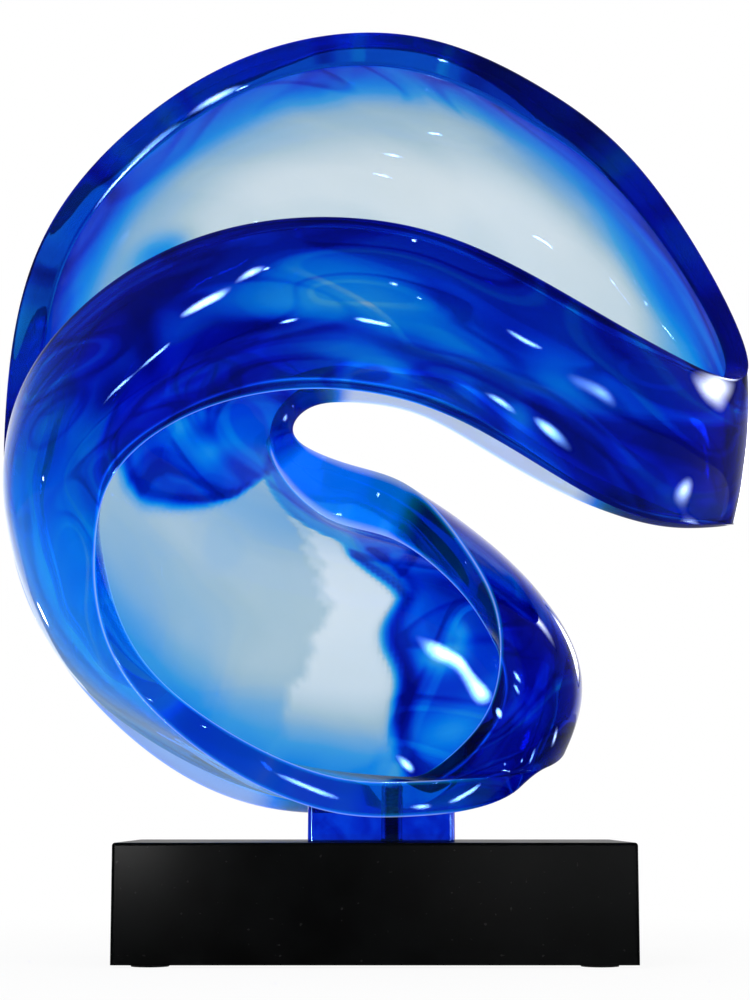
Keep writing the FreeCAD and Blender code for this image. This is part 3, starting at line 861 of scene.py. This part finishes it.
def felt():
    material, nodes, links, shader = nodes_of("pad_felt")
    _, dark = cloudy(nodes, links, FELT_NOISE, FELT_TONES)
    links.new(dark, shader.inputs["Base Color"])
    shader.inputs["Roughness"].default_value = FELT_ROUGHNESS
    shader.inputs["Sheen Weight"].default_value = FELT_SHEEN
    return material


def paint(piece, material):
    piece.data.materials.clear()
    piece.data.materials.append(material)


# The studio


def seen_directly(nodes, links):
    """1 for a ray from the camera, straight or by way of gloss or glass."""
    path = nodes.new("ShaderNodeLightPath")
    total = path.outputs["Is Camera Ray"]
    for other in ("Is Glossy Ray", "Is Transmission Ray"):
        total = sums(nodes, links, "MAXIMUM", total, path.outputs[other])
    return total


WHITE = (1.0, 1.0, 1.0, 1.0)
WORLD_LIGHT = 0.6
# how bright the room in front of the object is, in its gloss and through its glass,
# and the Y of a ray's way from which it meets the white backdrop instead
FRONT_ROOM = 0.12
THROUGH_ROOM = 0.60
BACKDROP_FROM, BACKDROP_FULL = 0.6, 1.0


def make_world():
    world = bpy.data.worlds.new("studio")
    bpy.context.scene.world = world
    world.use_nodes = True
    nodes, links = world.node_tree.nodes, world.node_tree.links
    soft = nodes["Background"]
    soft.inputs["Color"].default_value = WHITE
    soft.inputs["Strength"].default_value = WORLD_LIGHT
    white = nodes.new("ShaderNodeBackground")
    white.inputs["Color"].default_value = WHITE

    way = nodes.new("ShaderNodeSeparateXYZ")
    links.new(nodes.new("ShaderNodeTexCoord").outputs["Generated"], way.inputs[0])
    path = nodes.new("ShaderNodeLightPath").outputs
    through = THROUGH_ROOM - FRONT_ROOM
    room = sums(nodes, links, "MULTIPLY_ADD", path["Is Transmission Ray"], through, FRONT_ROOM)
    around = eased(nodes, links, way.outputs["Y"], BACKDROP_FROM, BACKDROP_FULL, low=room)
    matt = sums(nodes, links, "SUBTRACT", 1.0, path["Is Glossy Ray"])
    links.new(sums(nodes, links, "MAXIMUM", around, matt), white.inputs["Strength"])
    direct = seen_directly(nodes, links)
    lit = mixed(nodes, links, direct, soft.outputs[0], white.outputs[0])
    links.new(lit, nodes["World Output"].inputs["Surface"])


def glow_material(name):
    """A material with a glow in place of the usual shader."""
    material, nodes, links, shader = nodes_of(name)
    nodes.remove(shader)
    return material, nodes, links, nodes.new("ShaderNodeEmission")


FLOOR_SIZE = 12.0
FLOOR_TONE = (0.9, 0.9, 0.9, 1.0)
# how much of the floor shows its true light and shade at the foot, and how far from
# the foot only the white glow is left
FLOOR_SHADE = 0.09
SHADE_REACH = 0.55
# how bright the floor is in the object's gloss, and how much of that dimming is
# spared for the rays through its glass, which count as gloss too
FLOOR_IN_GLOSS = 0.3
THROUGH_GLASS_SPARED = 0.8


def make_floor():
    """A white floor that takes the object's shadow near its foot."""
    mesh = bpy.data.meshes.new("floor")
    half = FLOOR_SIZE / 2
    corners = [(-half, -half, 0), (half, -half, 0), (half, half, 0), (-half, half, 0)]
    mesh.from_pydata(corners, [], [(0, 1, 2, 3)])
    floor = linked("floor", mesh)
    material, nodes, links, glow = glow_material("floor")
    diffuse = nodes.new("ShaderNodeBsdfDiffuse")
    diffuse.inputs["Color"].default_value = FLOOR_TONE
    path = nodes.new("ShaderNodeLightPath").outputs
    through, glossy = path["Is Transmission Ray"], path["Is Glossy Ray"]
    gloss = sums(nodes, links, "MULTIPLY_ADD", through, -THROUGH_GLASS_SPARED, glossy)
    strength = sums(nodes, links, "MULTIPLY_ADD", gloss, FLOOR_IN_GLOSS - 1, 1.0)
    links.new(strength, glow.inputs["Strength"])

    from_foot = nodes.new("ShaderNodeVectorMath")
    from_foot.operation = "LENGTH"
    links.new(nodes.new("ShaderNodeTexCoord").outputs["Object"], from_foot.inputs[0])
    shade = eased(nodes, links, from_foot.outputs["Value"], 0.0, SHADE_REACH, FLOOR_SHADE, 0.0)
    bright = sums(nodes, links, "SUBTRACT", 1.0, shade)
    weight = sums(nodes, links, "MULTIPLY", bright, seen_directly(nodes, links))
    surface = mixed(nodes, links, weight, diffuse.outputs[0], glow.outputs[0])
    links.new(surface, nodes["Material Output"].inputs["Surface"])
    paint(floor, material)


CAMERA_PLACE = Vector((0.0, -1.103, 0.072))
CAMERA_TILT = math.radians(7.99)
CAMERA_LENS = 79.8
CAMERA_SENSOR = 36.0
CAMERA_CLIP = (0.01, 50.0)
PICTURE = (750, 1000)

# the two soft lamps: name, place, width and power in watts
LAMP_TARGET = (0.0, 0.0, 0.27)
LAMPS = [("key", (-0.9, -1.2, 1.5), 0.5, 10), ("fill", (1.3, -1.0, 0.9), 0.6, 6)]

# Small lamps, each placed so that the band glints where the photograph shows a
# glint: its pixel, how far off the lamp is, its width and how bright it is
GLINTS = [
    (160, 352, 1.2, 0.10, 160),
    (208, 301, 1.2, 0.26, 260),
    (252, 272, 1.2, 0.16, 150),
    (366, 321, 1.2, 0.09, 220),
    (418, 299, 1.2, 0.04, 200),
    (524, 340, 1.0, 0.08, 120),
    (501, 401, 0.45, 0.08, 140),
    (547, 430, 0.40, 0.08, 180),
    (600, 392, 0.45, 0.10, 60),
    (714, 389, 1.2, 0.34, 30),
    (683, 488, 0.40, 0.14, 60),
    (468, 675, 0.35, 0.055, 300),
    (572, 650, 1.2, 0.35, 40),
    (649, 236, 1.0, 0.05, 200),
    (547, 246, 1.2, 0.06, 200),
    (666, 331, 1.2, 0.05, 200),
    (255, 222, 1.2, 0.05, 200),
    (413, 240, 1.2, 0.04, 200),
]
CARD_SIDES = 32


def pixel_ray(x, y):
    """The way that the camera looks through a pixel of the photograph."""
    reach = PICTURE[1] * CAMERA_LENS / CAMERA_SENSOR
    sideways = (x - PICTURE[0] / 2) / reach
    upwards = (PICTURE[1] / 2 - y) / reach
    cos, sin = math.cos(CAMERA_TILT), math.sin(CAMERA_TILT)
    return Vector((sideways, cos - upwards * sin, sin + upwards * cos)).normalized()


def aim(lamp, place, target):
    """Puts a lamp at a place and turns it towards its target."""
    lamp.location = place
    lamp.rotation_euler = (Vector(target) - Vector(place)).to_track_quat("-Z", "Y").to_euler()


def make_lamps():
    for name, place, width, power in LAMPS:
        light = bpy.data.lights.new(name, "AREA")
        light.shape = "DISK"
        light.size = width
        light.energy = power
        lamp = linked(name, light)
        aim(lamp, place, LAMP_TARGET)
        lamp.visible_glossy = False
        lamp.visible_transmission = False


def glow_card(name, place, target, width, brightness):
    """A small round lamp that shines most in its middle and not at its edge."""
    turns = [2 * math.pi * k / CARD_SIDES for k in range(CARD_SIDES)]
    corners = [(math.cos(turn), math.sin(turn), 0.0) for turn in turns]
    mesh = bpy.data.meshes.new(name)
    mesh.from_pydata(corners, [], [tuple(range(CARD_SIDES))])
    card = linked(name, mesh)
    aim(card, place, target)
    card.scale = (width / 2, width / 2, width / 2)
    material, nodes, links, glow = glow_material(name)
    fade = nodes.new("ShaderNodeTexGradient")
    fade.gradient_type = "QUADRATIC_SPHERE"
    links.new(nodes.new("ShaderNodeTexCoord").outputs["Object"], fade.inputs["Vector"])
    strength = sums(nodes, links, "MULTIPLY", fade.outputs["Fac"], brightness)
    links.new(strength, glow.inputs["Strength"])
    links.new(glow.outputs[0], nodes["Material Output"].inputs["Surface"])
    paint(card, material)
    card.visible_camera = False
    card.visible_transmission = False
    card.visible_diffuse = False
    card.visible_shadow = False


def make_glints(band):
    tree = BVHTree.FromObject(band, bpy.context.evaluated_depsgraph_get())
    for x, y, distance, width, brightness in GLINTS:
        ray = pixel_ray(x, y)
        hit, normal, _, _ = tree.ray_cast(CAMERA_PLACE, ray)
        if hit is not None:
            glow_card("glint", hit + ray.reflect(normal) * distance, hit, width, brightness)


def make_camera():
    camera = bpy.data.cameras.new("camera")
    camera.sensor_width = CAMERA_SENSOR
    camera.lens = CAMERA_LENS
    holder = linked("camera", camera)
    holder.location = CAMERA_PLACE
    holder.rotation_euler = (math.radians(90) + CAMERA_TILT, 0.0, 0.0)
    camera.clip_start, camera.clip_end = CAMERA_CLIP
    bpy.context.scene.camera = holder


GLASS_BOUNCES = 32
GLOSS_BOUNCES = 16

scene = bpy.context.scene
scene.view_settings.view_transform = "Standard"
scene.cycles.max_bounces = GLASS_BOUNCES
scene.cycles.transmission_bounces = GLASS_BOUNCES
scene.cycles.glossy_bounces = GLOSS_BOUNCES
scene.cycles.transparent_max_bounces = GLOSS_BOUNCES

band = make_band()
paint(band, blue_glass())
paint(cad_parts["neck_block"], neck_glass())
paint(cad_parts["base_block"], black_lacquer())
stud_steel = steel()
paint(make_stud(), stud_steel)
for node in ("mounting_stud", "stud_washer", "stud_nut"):
    paint(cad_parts[node], stud_steel)
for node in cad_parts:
    if node.startswith("felt_pad"):
        paint(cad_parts[node], felt())

make_world()
make_floor()
make_lamps()
make_glints(band)
make_camera()
